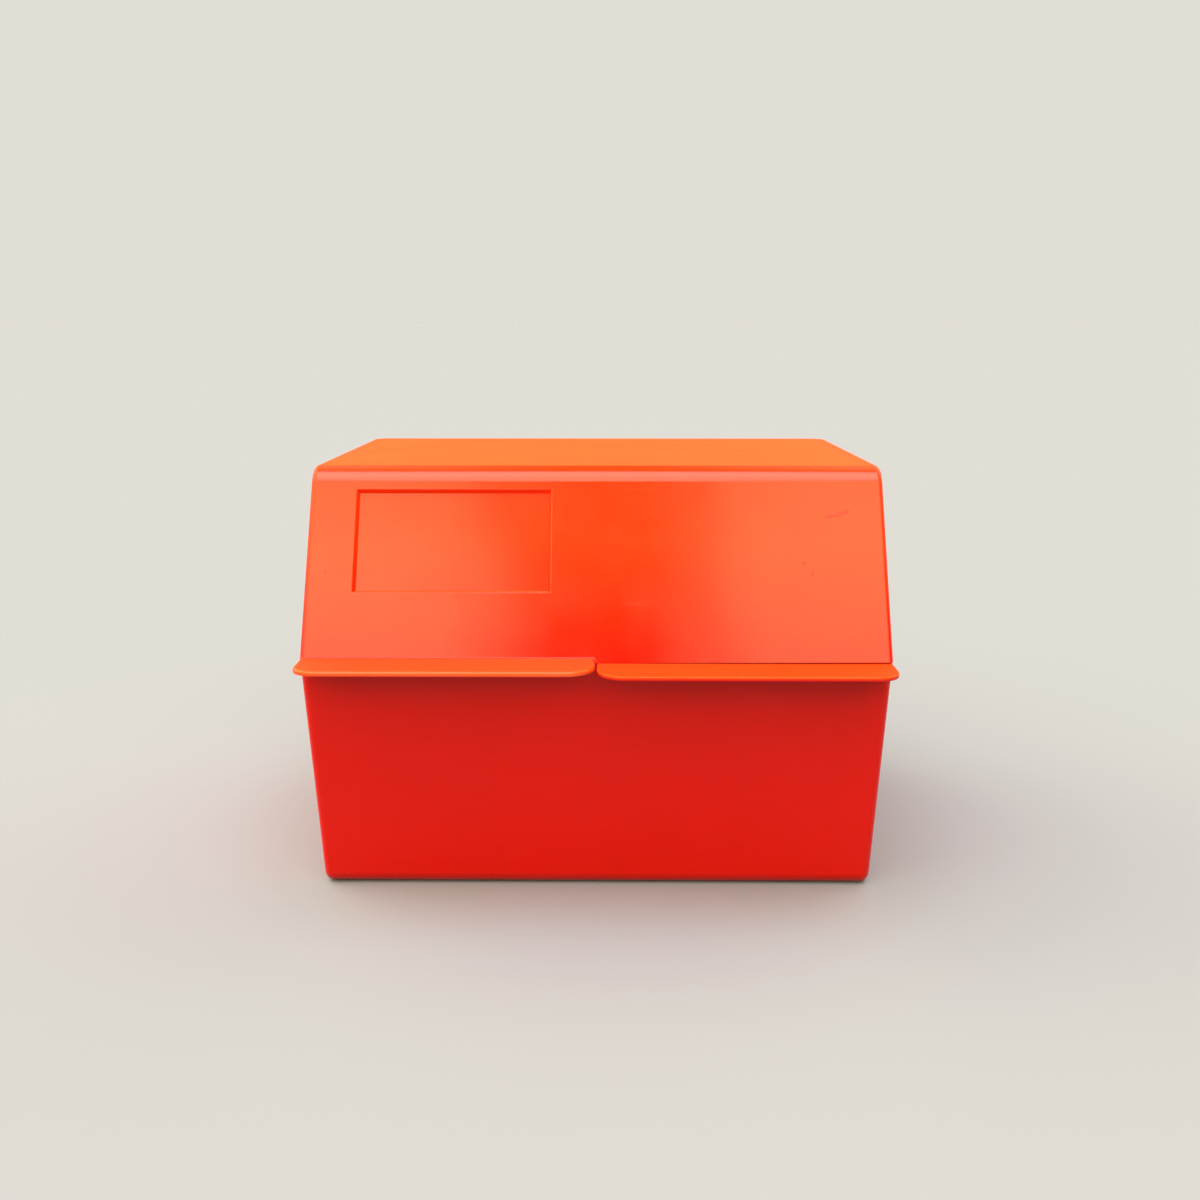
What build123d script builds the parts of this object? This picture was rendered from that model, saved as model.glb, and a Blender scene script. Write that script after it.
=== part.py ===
from build123d import *
import os
from collections import namedtuple
from math import cos, radians, sin, tan

# Hinged file box for postcard-size index cards, standing on its base with the lid shut.
# X runs across the front, Y from front to back and Z up. Lengths are in millimetres.

# Outside of the box at the parting plane, where the lid meets the base
mouth_width = 158.0
mouth_depth = 124.0
base_height = 70.0
lid_height = 48.5
wall = 1.8

# Lean of the walls from upright, in degrees, inwards from the parting plane, and how much the lid's
# top rises from the back to the front
side_lean = 0.5
base_front_lean = 11.3
base_back_lean = 5.0
lid_front_lean = 26.1
lid_back_lean = 5.0
lid_top_rise = 0.55

# Roundings outside the walls: the front edge of the closed end, the upright corners at the back,
# and all the other edges; inside they are smaller by the wall, but never under the least radius
base_front_radius = 5.0
base_corner_radius = 6.0
base_edge_radius = 2.2
lid_front_radius = 6.8
lid_corner_radius = 5.0
lid_edge_radius = 1.4
least_inner_radius = 0.5

# Finger tabs: the lid's on the left half of the front, the base's on the right half
tab_projection = 13.0
tab_thickness = 1.2
tab_gap = 0.5
tab_end_inset = 0.3
tab_inner_radius = 7.5
tab_outer_radius = 6.0
base_tab_edge_radius = 0.35
lid_tab_edge_radius = 0.8
lid_tab_root_radius = 0.5

# Nail slit between the lid's front edge and the base's tab, wider at the end than by the middle
slit_near_height = 0.05
slit_far_height = 0.35

# Label recess in the sloping front of the lid, measured along the slope
label_width = 53.5
label_height = 29.1
label_left_margin = 13.2
label_rise = 19.35
label_depth = 1.3
label_wall_lean = 30.0
label_pad_margin = 1.8
label_edge_radius = 0.35

# Lips on the base that keep the lid in line sideways
lip_length = 70.0
lip_height = 2.5
lip_thickness = 1.0
lip_root = 4.0
lip_clearance = 0.3

# Rear hinges: one eye on the lid between two on the base, on a steel pin
hinge_inset = 31.0
knuckle_radius = 3.0
knuckle_standoff = 0.4
lid_knuckle_length = 12.0
base_knuckle_length = 8.0
knuckle_gap = 0.3
hinge_web_height = 9.0
pin_radius = 1.25
pin_chamfer = 0.3
pin_running_clearance = 0.06

# Heel on the lid's eye that stops the open lid against the base
open_angle = 105.0
stop_reach = 2.0
stop_clearance = 0.3

# Support plate for the cards, bent from sheet, and its guide rails on the floor
sheet = 1.0
plate_lean = 8.0
plate_top_gap = 5.0
plate_back_gap = 3.0
plate_side_gap = 6.0
plate_bend_inner_radius = 1.5
plate_corner_radius = 8.0
foot_length = 36.0
foot_width = 58.0
rail_width = 2.0
rail_height = 2.0
rail_clearance = 0.3
plate_rail_gap = 1.0

# How far cutting shapes run past what they cut
overrun = 1.0

# Places that follow from the sizes, with the origin under the middle of the whole box
parting = base_height
whole_depth = tab_projection + mouth_depth + knuckle_standoff + 2 * knuckle_radius
tab_front = -whole_depth / 2
mouth_front = tab_front + tab_projection
mouth_back = mouth_front + mouth_depth
hinge_y = mouth_back + knuckle_standoff + knuckle_radius
hinge_length = lid_knuckle_length + 2 * (base_knuckle_length + knuckle_gap)
hinge_out = mouth_width / 2 - hinge_inset
hinge_places = {"left": -hinge_out, "right": hinge_out}

# The two mouldings: which way they run from the parting plane, their leans and outer roundings
Form = namedtuple("Form", "up front_lean back_lean end_rise front_radius corner_radius edge_radius")
base_form = Form(
    -1, base_front_lean, base_back_lean, 0,
    base_front_radius, base_corner_radius, base_edge_radius,
)
lid_form = Form(
    1, lid_front_lean, lid_back_lean, lid_top_rise,
    lid_front_radius, lid_corner_radius, lid_edge_radius,
)


def front_at(form, away, inset):
    """Y of the front wall at a height away from the parting plane, inset into the wall."""
    lean = radians(form.front_lean)
    return mouth_front + inset / cos(lean) + away * tan(lean)


def back_at(form, away, inset):
    """Y of the back wall, as for the front."""
    lean = radians(form.back_lean)
    return mouth_back - inset / cos(lean) - away * tan(lean)


def side_at(away, inset):
    """X of the right-hand wall, which leans alike on the base and the lid."""
    lean = radians(side_lean)
    return mouth_width / 2 - inset / cos(lean) - away * tan(lean)


def rounding(outer_radius, inset):
    """Radius of an edge of the outside, or of the same edge inside the wall."""
    return max(outer_radius - inset, least_inner_radius)


def end_edges(block, form):
    """The edges of a block's closed end that run across it, from front to back."""
    closed_end = block.faces().sort_by(Axis.Z, reverse=form.up > 0)[0]
    return closed_end.edges().filter_by(Axis.X).sort_by(Axis.Y)


def tapered_block(form, start, end, inset):
    """A block whose walls lean in from the parting plane to a rounded closed end."""
    front = front_at(form, 0, inset)
    back = back_at(form, 0, inset)
    mouth = Plane(origin=(0, 0, parting), x_dir=(1, 0, 0), z_dir=(0, 0, form.up))
    back_upright = Plane(origin=(0, back_at(form, end, inset), 0), x_dir=(1, 0, 0), z_dir=(0, 1, 0))
    with BuildPart() as block:
        with BuildSketch(Plane.XY.offset(parting + form.up * start)):
            with Locations((0, (front + back) / 2)):
                Rectangle(2 * side_at(0, inset), back - front)
        extrude(amount=form.up * (end - start))
        draft(block.faces().sort_by(Axis.Y)[0], mouth, form.front_lean)
        draft(block.faces().sort_by(Axis.Y)[-1], mouth, form.back_lean)
        draft(block.faces().filter_by(Axis.X), mouth, side_lean)
        if form.end_rise:
            draft(block.faces().sort_by(Axis.Z)[-1], back_upright, form.end_rise)
        fillet(end_edges(block, form)[0], rounding(form.front_radius, inset))
        back_face = block.faces().sort_by(Axis.Y)[-1]
        fillet(back_face.edges().filter_by(Axis.X, reverse=True), rounding(form.corner_radius, inset))
        # The back edge runs on smoothly round the corners, along the sides and down the front corners
        fillet(end_edges(block, form)[-1], rounding(form.edge_radius, inset))
    return block.part


def finger_tab(form, side):
    """A half-width tab along the front, with its root in the front wall."""
    near_end = tab_gap / 2
    far_end = mouth_width / 2 - tab_end_inset
    root = mouth_front + form.edge_radius + 2 * wall
    with BuildPart() as tab:
        with BuildSketch(Plane.XY.offset(parting)) as outline:
            with Locations((side * (near_end + far_end) / 2, (tab_front + root) / 2)):
                Rectangle(far_end - near_end, root - tab_front)
            for corner_index, radius in ((0, tab_inner_radius), (-1, tab_outer_radius)):
                front_corners = outline.vertices().group_by(Axis.Y)[0]
                fillet(front_corners.sort_by(Axis.X, reverse=side < 0)[corner_index], radius)
        extrude(amount=form.up * tab_thickness)
    return tab.part


def tab_edges(moulding):
    """The level edges of a tab's rim where it stands out from the wall, in groups from below."""
    outer_edges = moulding.edges().filter_by_position(Axis.Y, tab_front - overrun, mouth_front - overrun)
    return outer_edges.group_by(Axis.Z)


def knuckle_outline(form, start):
    """A hinge eye behind the back wall, with a web that grows out of the wall."""
    web_ends = [
        (back_at(form, away, wall / 2), parting + form.up * away)
        for away in (knuckle_radius, hinge_web_height)
    ]
    with BuildSketch(Plane.YZ.offset(start)) as outline:
        with BuildLine():
            Line(*web_ends)
            CenterArc((hinge_y, parting), knuckle_radius, 0, 360)
        make_hull()
    return outline.sketch


def pin_outline(start, radius):
    """The round section of a hinge pin, or of its hole."""
    with BuildSketch(Plane.YZ.offset(start)) as outline:
        with Locations((hinge_y, parting)):
            Circle(radius)
    return outline.sketch


# Outer blocks and the hollows that are taken out of them
base_block = tapered_block(base_form, 0, base_height, 0)
base_hollow = tapered_block(base_form, -overrun, base_height - wall, wall)
lid_block = tapered_block(lid_form, 0, lid_height, 0)
lid_hollow = tapered_block(lid_form, -overrun, lid_height - wall, wall)
base_tab = finger_tab(base_form, 1)
lid_tab = finger_tab(lid_form, -1)

# Floor of the base, inside, with the rails that guide the support plate's foot
floor_front = front_at(base_form, base_height - wall, wall) + rounding(base_front_radius, wall)
floor_back = back_at(base_form, base_height - wall, wall) - rounding(base_edge_radius, wall)
floor_middle = (floor_front + floor_back) / 2
rail_place = foot_width / 2 + rail_clearance + rail_width / 2

# Locating lip, inside the lid's side wall by its clearance
lip_outer = side_at(0, wall) - lip_clearance
lip_inner = lip_outer - lip_thickness
lip_middle = (mouth_front + mouth_back) / 2

# Base: a deep tray moulded in one piece with its tab, lips, rails and hinge eyes
with BuildPart() as base_tray:
    add(base_block)
    add(base_tab)
    add(base_hollow, mode=Mode.SUBTRACT)
    fillet(tab_edges(base_tray)[0], base_tab_edge_radius)
    fillet(tab_edges(base_tray)[-1], base_tab_edge_radius)
    with BuildSketch(Plane.XZ.offset(-lip_middle)):
        with BuildLine():
            Polyline(
                (side_at(lip_root, wall / 2), parting - lip_root),
                (side_at(0, wall / 2), parting),
                (lip_outer, parting),
                (lip_outer, parting + lip_height),
                (lip_inner, parting + lip_height),
                (lip_inner, parting - lip_root + lip_clearance + lip_thickness),
                close=True,
            )
        make_face()
        mirror(about=Plane.YZ)
    extrude(amount=lip_length / 2, both=True)
    with BuildSketch(Plane.XY.offset(wall)):
        with Locations((-rail_place, floor_middle), (rail_place, floor_middle)):
            Rectangle(rail_width, floor_back - floor_front)
    extrude(amount=rail_height)
    for middle in hinge_places.values():
        start = middle - hinge_length / 2
        for eye_start in (start, start + hinge_length - base_knuckle_length):
            extrude(knuckle_outline(base_form, eye_start), amount=base_knuckle_length)
        extrude(pin_outline(start, pin_radius), amount=hinge_length, mode=Mode.SUBTRACT)

# Sloping front of the lid, with its origin on the parting plane and Y up the slope
front_slope = Plane(
    origin=(0, mouth_front, parting),
    x_dir=(1, 0, 0),
    z_dir=(0, -cos(radians(lid_front_lean)), sin(radians(lid_front_lean))),
)
label_place = (label_left_margin + label_width / 2 - mouth_width / 2, label_rise + label_height / 2)

# Outline of the stop heel, seen when the lid is open, from the hinge's axis to the base's back wall,
# and where the open lid's backward direction lies when it is shut
open_back = (0, cos(radians(open_angle)), sin(radians(open_angle)))
stop_face = stop_clearance - knuckle_standoff - knuckle_radius
stop_outline = (
    (0, 0),
    (stop_face, 0),
    (stop_face - stop_reach * tan(radians(base_back_lean)), -stop_reach),
    (0, -stop_reach),
)

# Lid: a deep hood moulded in one piece with its tab, label recess and hinge eyes
with BuildPart() as lid:
    add(lid_block)
    add(lid_tab)
    add(lid_hollow, mode=Mode.SUBTRACT)
    fillet(tab_edges(lid)[-1], lid_tab_edge_radius)
    tab_root = (-mouth_width / 4, front_at(lid_form, tab_thickness, 0), parting + tab_thickness)
    fillet(lid.edges().sort_by_distance(tab_root)[0], lid_tab_root_radius)
    with BuildSketch(front_slope.offset(-wall)):
        with Locations(label_place):
            Rectangle(label_width + 2 * label_pad_margin, label_height + 2 * label_pad_margin)
    extrude(amount=-label_depth)
    with BuildSketch(front_slope):
        with Locations(label_place):
            Rectangle(label_width, label_height)
    extrude(amount=-label_depth, taper=label_wall_lean, mode=Mode.SUBTRACT)
    outwards = Axis(front_slope.origin, front_slope.z_dir)
    fillet(lid.edges(Select.LAST).group_by(outwards)[-1], label_edge_radius)
    with BuildSketch(Plane.XZ.offset(-mouth_front)):
        with BuildLine():
            Polyline(
                (tab_gap / 2, parting),
                (tab_gap / 2, parting + slit_near_height),
                (mouth_width / 2 + overrun, parting + slit_far_height),
                (mouth_width / 2 + overrun, parting),
                close=True,
            )
        make_face()
    extrude(amount=2 * wall, both=True, mode=Mode.SUBTRACT)
    for middle in hinge_places.values():
        start = middle - lid_knuckle_length / 2
        extrude(knuckle_outline(lid_form, start), amount=lid_knuckle_length)
        with BuildSketch(Plane(origin=(start, hinge_y, parting), x_dir=open_back, z_dir=(1, 0, 0))):
            with BuildLine():
                Polyline(*stop_outline, close=True)
            make_face()
        extrude(amount=lid_knuckle_length)
        bore = pin_outline(start, pin_radius + pin_running_clearance)
        extrude(bore, amount=lid_knuckle_length, mode=Mode.SUBTRACT)

# Support plate: foot flat on the floor, upright leaning back just short of the back wall
plate_top = parting - plate_top_gap
plate_height = plate_top - wall
plate_half_width = side_at(base_height - wall, wall) - plate_side_gap
top_back = back_at(base_form, plate_top_gap, wall) - plate_back_gap
heel_back = top_back - plate_height * tan(radians(plate_lean))
panel_low = wall + rail_height + plate_rail_gap

with BuildPart() as support_plate:
    with BuildSketch(Plane.YZ):
        with BuildLine():
            FilletPolyline(
                (heel_back - foot_length, wall),
                (heel_back, wall),
                (top_back, plate_top),
                radius=plate_bend_inner_radius + sheet,
            )
            offset(amount=sheet, side=Side.LEFT)
        make_face()
    extrude(amount=plate_half_width, both=True)
    with BuildSketch(Plane.XZ) as front_outline:
        with Locations((0, (panel_low + plate_top) / 2)):
            Rectangle(2 * plate_half_width, plate_top - panel_low)
        fillet(front_outline.vertices().group_by(Axis.Y)[-1], plate_corner_radius)
        with Locations((0, (wall + plate_top) / 2)):
            Rectangle(foot_width, plate_height)
    extrude(amount=whole_depth, both=True, mode=Mode.INTERSECT)

# Hinge pins: plain steel, pressed into the base's eyes and flush with their ends
hinge_pins = {}
for hand, middle in hinge_places.items():
    with BuildPart() as hinge_pin:
        extrude(pin_outline(middle - hinge_length / 2, pin_radius), amount=hinge_length)
        chamfer(hinge_pin.edges().filter_by(GeomType.CIRCLE), pin_chamfer)
    hinge_pins["hinge_pin_" + hand] = hinge_pin.part

os.makedirs("parts", exist_ok=True)
pieces = {
    "base_tray": base_tray.part,
    "lid": lid.part,
    "support_plate": support_plate.part,
    **hinge_pins,
}
for name, piece in pieces.items():
    piece.label = name
    export_step(piece, f"parts/{name}.step")
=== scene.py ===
import math

import bmesh
import bpy
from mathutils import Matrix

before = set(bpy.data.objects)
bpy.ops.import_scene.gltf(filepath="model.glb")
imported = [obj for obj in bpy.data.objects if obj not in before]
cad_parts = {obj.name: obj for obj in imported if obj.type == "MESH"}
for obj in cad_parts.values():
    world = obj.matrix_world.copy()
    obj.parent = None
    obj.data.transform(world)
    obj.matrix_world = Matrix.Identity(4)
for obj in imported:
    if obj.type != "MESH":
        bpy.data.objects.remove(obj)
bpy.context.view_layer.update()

# Base tray: the deep lower half of the box, with the right-hand finger tab on its front rim.
# One injection moulding in orange-red polystyrene, polished in the tool, so the walls are glossy
# but a little wavy. Faces that look up are painted more orange where more light falls: painted
# light.

# How far a face's normal turns up, along Z, where it starts to count as level and where it does
level_from = 0.99
level_full = 0.9995

# Where the painted light starts and is full, in metres: painted orange up the walls of the lid,
# and a painted highlight up the rim of the base's tab and out from the walls along both tabs
lid_light_paint_from = 0.0715
lid_light_paint_full = 0.1
rim_highlight_from = 0.0692
rim_highlight_full = 0.0698
tab_highlight_from = -0.0597
tab_highlight_full = -0.0617

# How much painted light shows as orange: on level faces, high up on the lid, more on its top, and
# on rims as a painted highlight
level_painted_light = 0.27
lid_painted_light = 0.18
lid_top_painted_light_gain = 0.3
rim_painted_highlight = 0.42

# The seam between the lid and the base's tab, darkened as painted shade: its middle and half sizes
seam_middle = (0.0395, -0.0585, 0.07)
seam_half_sizes = (0.06, 0.0008, 0.0005)

# Scuffs: how deep the noise breaks into them, and how far out they start to end and have ended
stroke_break = 1.4
scuff_edge_from = 1.4
scuff_edge_end = 1.85

base_shine = 0.17
polystyrene_ior = 1.59


def linear(hex_colour):
    """The scene-linear colour of an sRGB hex value."""
    shares = [int(hex_colour[i:i + 2], 16) / 255 for i in (1, 3, 5)]
    return [s / 12.92 if s <= 0.04045 else ((s + 0.055) / 1.055) ** 2.4 for s in shares] + [1]


def per_metre(size_mm):
    """Texture scale at which one cell of a pattern has this size."""
    return 1000 / size_mm


def add_node(tree, kind, inputs=None, **settings):
    """Adds a node, sets its settings, and gives each input named or numbered a value or a link."""
    node = tree.nodes.new("ShaderNode" + kind)
    for name, value in settings.items():
        setattr(node, name, value)
    for key, value in (inputs or {}).items():
        if isinstance(value, bpy.types.NodeSocket):
            tree.links.new(value, node.inputs[key])
        else:
            node.inputs[key].default_value = value
    return node


def new_material(name):
    """An empty node material, with its node tree."""
    material = bpy.data.materials.new(name)
    material.use_nodes = True
    material.node_tree.nodes.clear()
    return material, material.node_tree


def polystyrene(name, marks, shine):
    """Glossy moulded polystyrene: soft reflections, faint waves, the wear of years of use, and
    painted light and shade.
    Each mark is a scuff: where it is and its half sizes along X, Y and Z, all in metres."""
    material, tree = new_material(name)
    place = add_node(tree, "TexCoord")
    point = place.outputs["Object"]
    spot = add_node(tree, "SeparateXYZ", {"Vector": point})
    facing = add_node(tree, "SeparateXYZ", {"Vector": place.outputs["Normal"]})
    level = add_node(
        tree, "MapRange",
        {"Value": facing.outputs["Z"], "From Min": level_from, "From Max": level_full},
    )
    high_painted_light = add_node(
        tree, "MapRange",
        {
            "Value": spot.outputs["Z"], "From Min": lid_light_paint_from, "From Max": lid_light_paint_full,
            "To Max": lid_painted_light,
        },
    )
    # Pigment with painted light: red plastic, painted orange where more light falls, on faces that
    # look up and high on the lid, most on its top, and a painted highlight on the rims of the tabs
    rim_highlight_share = add_node(
        tree, "MapRange",
        {
            "Value": spot.outputs["Z"], "From Min": rim_highlight_from, "From Max": rim_highlight_full,
            "To Max": rim_painted_highlight,
        },
    )
    tab_rim_highlight = add_node(
        tree, "MapRange",
        {
            "Value": spot.outputs["Y"], "From Min": tab_highlight_full, "From Max": tab_highlight_from,
            "To Min": rim_highlight_share.outputs[0], "To Max": 0,
        },
    )
    level_and_rim_painted_light = add_node(
        tree, "Mix", {0: level.outputs[0], 2: tab_rim_highlight.outputs[0], 3: level_painted_light}, data_type="FLOAT",
    )
    summed_painted_light = add_node(
        tree, "Math", {0: level_and_rim_painted_light.outputs[0], 1: high_painted_light.outputs[0]}, operation="ADD",
    )
    lid_top_painted_light = add_node(
        tree, "Math", {0: level.outputs[0], 1: high_painted_light.outputs[0]}, operation="MULTIPLY",
    )
    painted_light_share = add_node(
        tree, "Math", {0: lid_top_painted_light.outputs[0], 1: lid_top_painted_light_gain, 2: summed_painted_light.outputs[0]},
        operation="MULTIPLY_ADD",
    )
    pigment_and_painted_light = add_node(
        tree, "Mix", {0: painted_light_share.outputs[0], 6: linear("#FC1500"), 7: linear("#FF7A16")},
        data_type="RGBA",
    )
    clouds = add_node(tree, "TexNoise", {"Vector": point, "Scale": per_metre(24), "Detail": 3})
    cloud_share = add_node(
        tree, "MapRange",
        {"Value": clouds.outputs["Fac"], "From Min": 0.4, "From Max": 0.7, "To Max": 0.1},
    )
    colour = add_node(
        tree, "Mix", {0: cloud_share.outputs[0], 6: pigment_and_painted_light.outputs[2], 7: linear("#D21C00")},
        data_type="RGBA",
    )
    # Dark specks of grit rubbed into the surface, under a millimetre across and far apart
    specks = add_node(tree, "TexVoronoi", {"Vector": point, "Scale": per_metre(26)})
    speck_share = add_node(
        tree, "MapRange",
        {
            "Value": specks.outputs["Distance"], "From Min": 0.008, "From Max": 0.016,
            "To Min": 0.7, "To Max": 0,
        },
    )
    colour = add_node(
        tree, "Mix", {0: speck_share.outputs[0], 6: colour.outputs[2], 7: linear("#6A1606")},
        data_type="RGBA",
    )
    # Painted shade in the parting line, where the foot of the lid stands on the base's tab
    from_seam = add_node(tree, "VectorMath", {0: point, 1: seam_middle}, operation="SUBTRACT")
    stretched = add_node(
        tree, "VectorMath", {0: from_seam.outputs[0], 1: seam_half_sizes}, operation="DIVIDE",
    )
    reach = add_node(tree, "VectorMath", {0: stretched.outputs[0]}, operation="LENGTH")
    seam_painted_shade = add_node(
        tree, "MapRange",
        {
            "Value": reach.outputs["Value"], "From Min": 0.6, "From Max": 1,
            "To Min": 0.8, "To Max": 0,
        },
    )
    colour = add_node(
        tree, "Mix", {0: seam_painted_shade.outputs[0], 6: colour.outputs[2], 7: linear("#8E0A00")},
        data_type="RGBA",
    )
    # Scuffs rubbed into the gloss, broken up into short strokes
    strokes = add_node(tree, "TexNoise", {"Vector": point, "Scale": per_metre(1.2), "Detail": 4})
    for centre, half_sizes in marks:
        shifted = add_node(tree, "VectorMath", {0: point, 1: centre}, operation="SUBTRACT")
        stretched = add_node(
            tree, "VectorMath", {0: shifted.outputs[0], 1: half_sizes}, operation="DIVIDE",
        )
        reach = add_node(tree, "VectorMath", {0: stretched.outputs[0]}, operation="LENGTH")
        broken = add_node(
            tree, "Math", {0: strokes.outputs["Fac"], 1: stroke_break, 2: reach.outputs["Value"]},
            operation="MULTIPLY_ADD",
        )
        share = add_node(
            tree, "MapRange",
            {
                "Value": broken.outputs[0], "From Min": scuff_edge_from,
                "From Max": scuff_edge_end, "To Min": 0.8, "To Max": 0,
            },
        )
        colour = add_node(
            tree, "Mix", {0: share.outputs[0], 6: colour.outputs[2], 7: linear("#EC1600")},
            data_type="RGBA",
        )
    # Hairline scratches from handling: thin streaks that break off, seen only in the gloss
    turned = add_node(
        tree, "Mapping",
        {
            "Vector": point, "Rotation": (0.5, 0.25, 0.5),
            "Scale": (per_metre(14), per_metre(0.5), per_metre(0.5)),
        },
    )
    streaks = add_node(tree, "TexNoise", {"Vector": turned.outputs[0], "Scale": 1, "Detail": 1})
    scratch_share = add_node(
        tree, "MapRange", {"Value": streaks.outputs["Fac"], "From Min": 0.72, "From Max": 0.8},
    )
    # Gloss: duller on the faces that look up, where the box has been rubbed and dusted
    wear = add_node(
        tree, "TexNoise",
        {"Vector": point, "Scale": per_metre(9), "Detail": 5, "Roughness": 0.6},
    )
    gloss = add_node(
        tree, "MapRange",
        {
            "Value": wear.outputs["Fac"], "From Min": 0.3, "From Max": 0.75,
            "To Min": 0.1, "To Max": 0.16,
        },
    )
    dulled = add_node(
        tree, "MapRange",
        {"Value": facing.outputs["Z"], "From Min": 0.98, "From Max": level_full, "To Max": 0.45},
    )
    worn = add_node(tree, "Math", {0: gloss.outputs[0], 1: dulled.outputs[0]}, operation="ADD")
    roughness = add_node(
        tree, "Math", {0: scratch_share.outputs[0], 1: 0.1, 2: worn.outputs[0]},
        operation="MULTIPLY_ADD",
    )
    # Relief: slow waves left by cooling, and the faint grain of the polished tool
    waves = add_node(tree, "TexNoise", {"Vector": point, "Scale": per_metre(38), "Detail": 1})
    relief = add_node(
        tree, "Bump", {"Height": waves.outputs["Fac"], "Strength": 1, "Distance": 0.00022},
    )
    grain = add_node(tree, "TexNoise", {"Vector": point, "Scale": per_metre(1.1), "Detail": 2})
    relief = add_node(
        tree, "Bump",
        {
            "Height": grain.outputs["Fac"], "Strength": 1, "Distance": 0.000004,
            "Normal": relief.outputs[0],
        },
    )
    shader = add_node(
        tree, "BsdfPrincipled",
        {
            "Base Color": colour.outputs[2], "Roughness": roughness.outputs[0],
            "Normal": relief.outputs[0], "IOR": polystyrene_ior, "Specular IOR Level": shine,
        },
    )
    add_node(tree, "OutputMaterial", {"Surface": shader.outputs[0]})
    return material


base_marks = [((0.041, -0.050, 0.013), (0.0008, 0.004, 0.0007))]
base_plastic = polystyrene("polystyrene_base", base_marks, base_shine)
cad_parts["base_tray"].material_slots[0].material = base_plastic

# Hinge pins: two lengths of drawn steel wire, chamfered at the ends and pressed into the eyes
# of the base, so that the lid's eyes turn on them. Drawing leaves fine lines along the wire.


def drawn_steel(name):
    """Bright steel wire with die lines along X and a few dull patches."""
    material, tree = new_material(name)
    place = add_node(tree, "TexCoord")
    lengthways = add_node(
        tree, "Mapping",
        {
            "Vector": place.outputs["Object"],
            "Scale": (per_metre(12), per_metre(0.25), per_metre(0.25)),
        },
    )
    lines = add_node(tree, "TexNoise", {"Vector": lengthways.outputs[0], "Scale": 1, "Detail": 3})
    colour = add_node(
        tree, "Mix", {0: lines.outputs["Fac"], 6: linear("#8D8F92"), 7: linear("#C9CBCD")},
        data_type="RGBA",
    )
    roughness = add_node(
        tree, "MapRange", {"Value": lines.outputs["Fac"], "To Min": 0.2, "To Max": 0.42},
    )
    relief = add_node(
        tree, "Bump", {"Height": lines.outputs["Fac"], "Strength": 1, "Distance": 0.000008},
    )
    shader = add_node(
        tree, "BsdfPrincipled",
        {
            "Base Color": colour.outputs[2], "Roughness": roughness.outputs[0],
            "Normal": relief.outputs[0], "Metallic": 1,
        },
    )
    add_node(tree, "OutputMaterial", {"Surface": shader.outputs[0]})
    return material


pin_steel = drawn_steel("drawn_steel_wire")
for pin in ("hinge_pin_left", "hinge_pin_right"):
    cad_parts[pin].material_slots[0].material = pin_steel

# Support plate: a card follower bent from one millimetre sheet steel and plated with bright zinc.
# Its foot slides on the floor of the base between two rails, and rubbing has dulled the plating.


def zinc_plate(name):
    """Zinc-plated sheet: a soft bluish metal with faint crystals, rolling lines and rub marks."""
    material, tree = new_material(name)
    place = add_node(tree, "TexCoord")
    point = place.outputs["Object"]
    crystals = add_node(tree, "TexVoronoi", {"Vector": point, "Scale": per_metre(4)})
    tone = add_node(tree, "SeparateColor", {"Color": crystals.outputs["Color"]})
    rolled = add_node(
        tree, "Mapping",
        {"Vector": point, "Scale": (per_metre(60), per_metre(0.8), per_metre(0.8))},
    )
    lines = add_node(tree, "TexNoise", {"Vector": rolled.outputs[0], "Scale": 1, "Detail": 4})
    share = add_node(
        tree, "Math", {0: tone.outputs[0], 1: 0.35, 2: lines.outputs["Fac"]},
        operation="MULTIPLY_ADD",
    )
    colour = add_node(
        tree, "Mix", {0: share.outputs[0], 6: linear("#A6ABB0"), 7: linear("#CED2D5")},
        data_type="RGBA",
    )
    roughness = add_node(
        tree, "MapRange", {"Value": share.outputs[0], "To Min": 0.34, "To Max": 0.52},
    )
    relief = add_node(
        tree, "Bump", {"Height": lines.outputs["Fac"], "Strength": 1, "Distance": 0.000012},
    )
    shader = add_node(
        tree, "BsdfPrincipled",
        {
            "Base Color": colour.outputs[2], "Roughness": roughness.outputs[0],
            "Normal": relief.outputs[0], "Metallic": 1,
        },
    )
    add_node(tree, "OutputMaterial", {"Surface": shader.outputs[0]})
    return material


plate_zinc = zinc_plate("zinc_plated_steel")
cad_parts["support_plate"].material_slots[0].material = plate_zinc

# Lid: the deep upper half, with the left-hand finger tab and a shallow panel for a label.
# The same polystyrene as the base, moulded in one piece with the eyes of its hinges. Its gloss is
# the stronger of the two, as it is in the photograph.
lid_shine = 0.39

# One long scuff of four strokes by the upper right corner, two nicks below it, and one on the left
lid_marks = [
    ((0.0634, -0.0408, 0.1065), (0.0016, 0.0020, 0.0004)),
    ((0.0650, -0.0406, 0.1068), (0.0024, 0.0020, 0.0004)),
    ((0.0671, -0.0402, 0.1075), (0.0020, 0.0020, 0.0004)),
    ((0.0681, -0.0400, 0.1080), (0.0010, 0.0020, 0.0004)),
    ((0.0561, -0.0466, 0.0948), (0.0005, 0.0020, 0.0005)),
    ((0.0583, -0.0478, 0.0922), (0.0004, 0.0020, 0.0007)),
    ((-0.0734, -0.0476, 0.0926), (0.0004, 0.0020, 0.0006)),
]
lid_plastic = polystyrene("polystyrene_lid", lid_marks, lid_shine)
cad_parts["lid"].material_slots[0].material = lid_plastic

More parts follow.
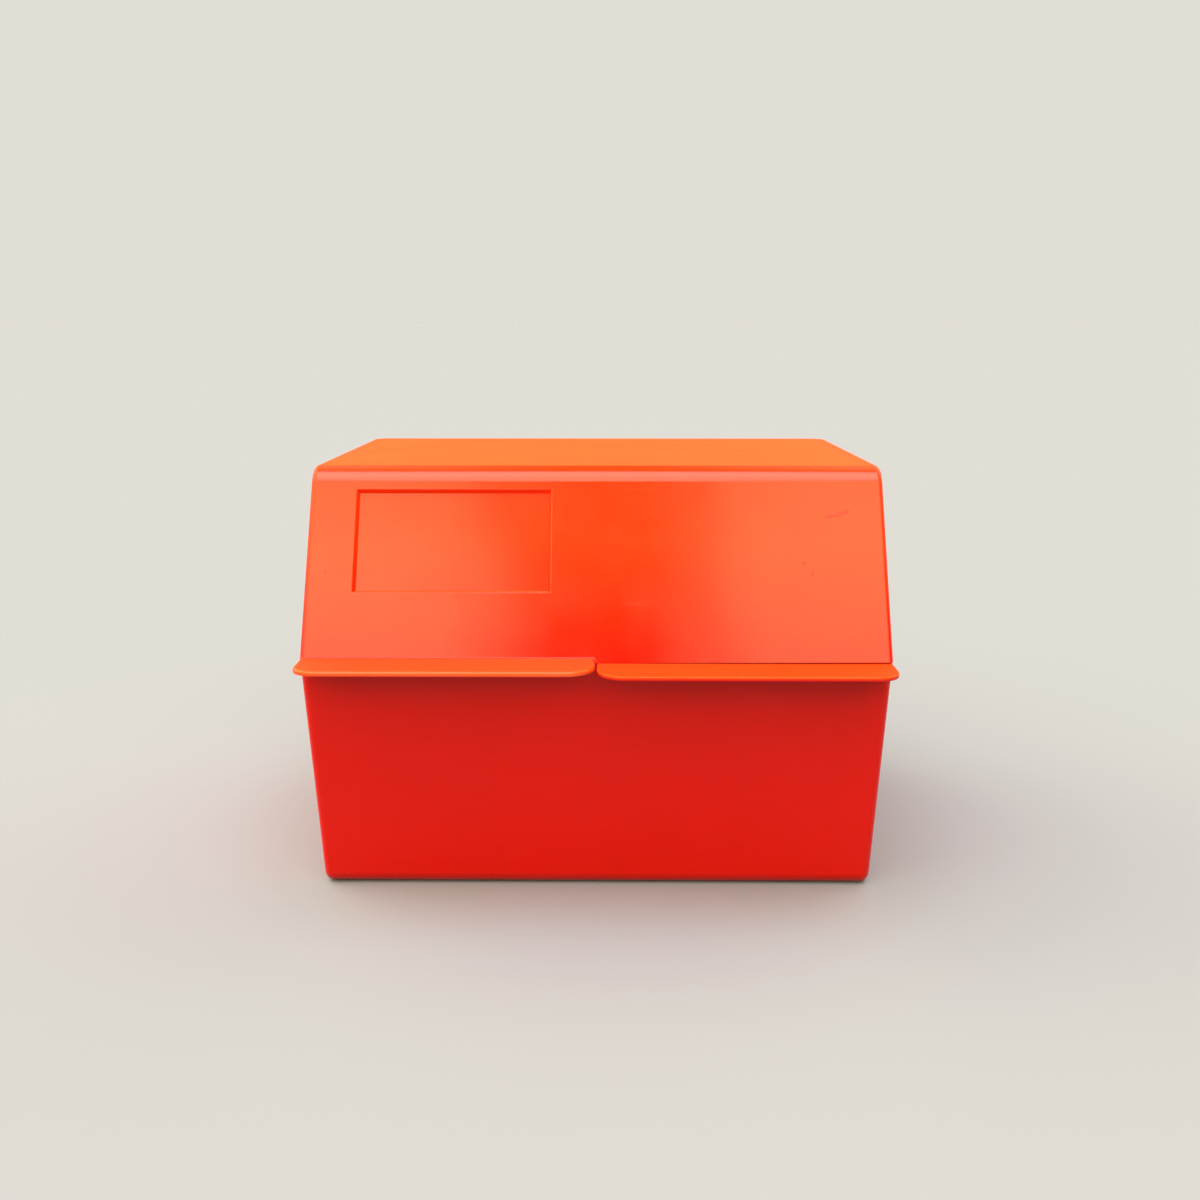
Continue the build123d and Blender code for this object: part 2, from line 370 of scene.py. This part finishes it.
# Floor: one wide sheet of pale paper, with no sheen of its own. The camera and reflections see it
# paler than the light it throws back on the box, so that the walls keep the shade under the tabs.
floor_reach = 40
sheet = bmesh.new()
bmesh.ops.create_grid(sheet, size=floor_reach)
floor_mesh = bpy.data.meshes.new("floor")
sheet.to_mesh(floor_mesh)
sheet.free()
floor = bpy.data.objects.new("floor", floor_mesh)
bpy.context.collection.objects.link(floor)
paper, tree = new_material("pale_paper")
path = add_node(tree, "LightPath")
mirrored = add_node(
    tree, "Math", {0: path.outputs["Is Glossy Ray"], 1: path.outputs["Is Transmission Ray"]},
    operation="MAXIMUM",
)
seen = add_node(
    tree, "Math", {0: path.outputs["Is Camera Ray"], 1: mirrored.outputs[0]}, operation="MAXIMUM",
)
colour = add_node(
    tree, "Mix", {0: seen.outputs[0], 6: linear("#626574"), 7: linear("#A1A6C5")},
    data_type="RGBA",
)
shader = add_node(
    tree, "BsdfPrincipled",
    {"Base Color": colour.outputs[2], "Roughness": 1, "Specular IOR Level": 0},
)
add_node(tree, "OutputMaterial", {"Surface": shader.outputs[0]})
floor_mesh.materials.append(paper)

# Light: a soft room round the box, brightest overhead, with a window on each side of the camera,
# a darker gap between them where the camera stands, and some light from the left and from behind.
scene = bpy.context.scene
world = bpy.data.worlds.new("soft_room")
scene.world = world
world.use_nodes = True
tree = world.node_tree
tree.nodes.clear()
direction = add_node(tree, "TexCoord").outputs["Generated"]


def patch(azimuth, elevation, inner, outer, around, within):
    """A soft round patch of the room: a value within its inner angle, another past its outer one.
    Angles are in degrees, to the right of the front and up from the floor."""
    turn = math.radians(azimuth)
    rise = math.radians(elevation)
    aim = (math.sin(turn) * math.cos(rise), -math.cos(turn) * math.cos(rise), math.sin(rise))
    closeness = add_node(tree, "VectorMath", {0: direction, 1: aim}, operation="DOT_PRODUCT")
    return add_node(
        tree, "MapRange",
        {
            "Value": closeness.outputs["Value"], "From Min": math.cos(math.radians(outer)),
            "From Max": math.cos(math.radians(inner)), "To Min": around, "To Max": within,
        },
        interpolation_type="SMOOTHSTEP",
    ).outputs[0]


level = patch(azimuth=0, elevation=43, inner=26, outer=56, around=0.12, within=1.85)
for light in (
    patch(azimuth=-16, elevation=33, inner=6, outer=14, around=0, within=2.2),
    patch(azimuth=16, elevation=35, inner=7, outer=15, around=0, within=1.8),
    patch(azimuth=-85, elevation=30, inner=15, outer=55, around=0, within=1.9),
    patch(azimuth=-125, elevation=35, inner=15, outer=45, around=0, within=1.3),
    patch(azimuth=125, elevation=35, inner=15, outer=45, around=0, within=1.6),
):
    level = add_node(tree, "Math", {0: level, 1: light}, operation="ADD").outputs[0]
for gap in (
    patch(azimuth=-0.4, elevation=36, inner=2.5, outer=7, around=1, within=0.03),
    patch(azimuth=-0.4, elevation=43.5, inner=2.5, outer=7, around=1, within=0.15),
):
    level = add_node(tree, "Math", {0: level, 1: gap}, operation="MULTIPLY").outputs[0]
# The room is darker down by the floor
rise = add_node(tree, "SeparateXYZ", {"Vector": direction})
above_floor = add_node(
    tree, "MapRange", {"Value": rise.outputs["Z"], "From Max": 0.36, "To Min": 0.15},
)
level = add_node(
    tree, "Math", {0: level, 1: above_floor.outputs[0]}, operation="MULTIPLY",
).outputs[0]
room_light = add_node(tree, "Background", {"Color": linear("#FFF3B4"), "Strength": level})
lamp = patch(azimuth=0, elevation=77, inner=19, outer=29, around=0, within=3.4)
lamp_dip = patch(azimuth=1.5, elevation=64, inner=5, outer=16, around=1, within=0.75)
overhead = add_node(tree, "Math", {0: lamp, 1: lamp_dip}, operation="MULTIPLY")
overhead_light = add_node(
    tree, "Background", {"Color": linear("#FFFAF2"), "Strength": overhead.outputs[0]},
)
light = add_node(tree, "AddShader", {0: room_light.outputs[0], 1: overhead_light.outputs[0]})
# Beyond the paper stands a backdrop of the same pale tone, which the camera and low reflections see
path = add_node(tree, "LightPath")
low = add_node(
    tree, "MapRange",
    {
        "Value": rise.outputs["Z"], "From Min": 0.1, "From Max": 0.24,
        "To Min": path.outputs["Is Glossy Ray"], "To Max": 0,
    },
)
mirrored = add_node(
    tree, "Math", {0: low.outputs[0], 1: path.outputs["Is Transmission Ray"]},
    operation="MAXIMUM",
)
seen = add_node(
    tree, "Math", {0: mirrored.outputs[0], 1: path.outputs["Is Camera Ray"]}, operation="MAXIMUM",
)
backdrop = add_node(tree, "Background", {"Color": linear("#E1DED5")})
surround = add_node(
    tree, "MixShader", {0: seen.outputs[0], 1: light.outputs[0], 2: backdrop.outputs[0]},
)
add_node(tree, "OutputWorld", {"Surface": surround.outputs[0]})

# Camera: where the photograph was taken, a little above the box and looking down at its front.
# Its place is in metres, and its tilt and turn are in degrees.
tilt_down = 12.604
turn_left = 0.436
camera_data = bpy.data.cameras.new("camera")
camera_data.sensor_width = 36
camera_data.lens = 37.5
camera_data.clip_start = 0.01
camera = bpy.data.objects.new("camera", camera_data)
camera.location = (0.00353, -0.37844, 0.15872)
camera.rotation_euler = (math.radians(90 - tilt_down), 0, math.radians(turn_left))
scene.collection.objects.link(camera)
scene.camera = camera

scene.view_settings.view_transform = "Standard"
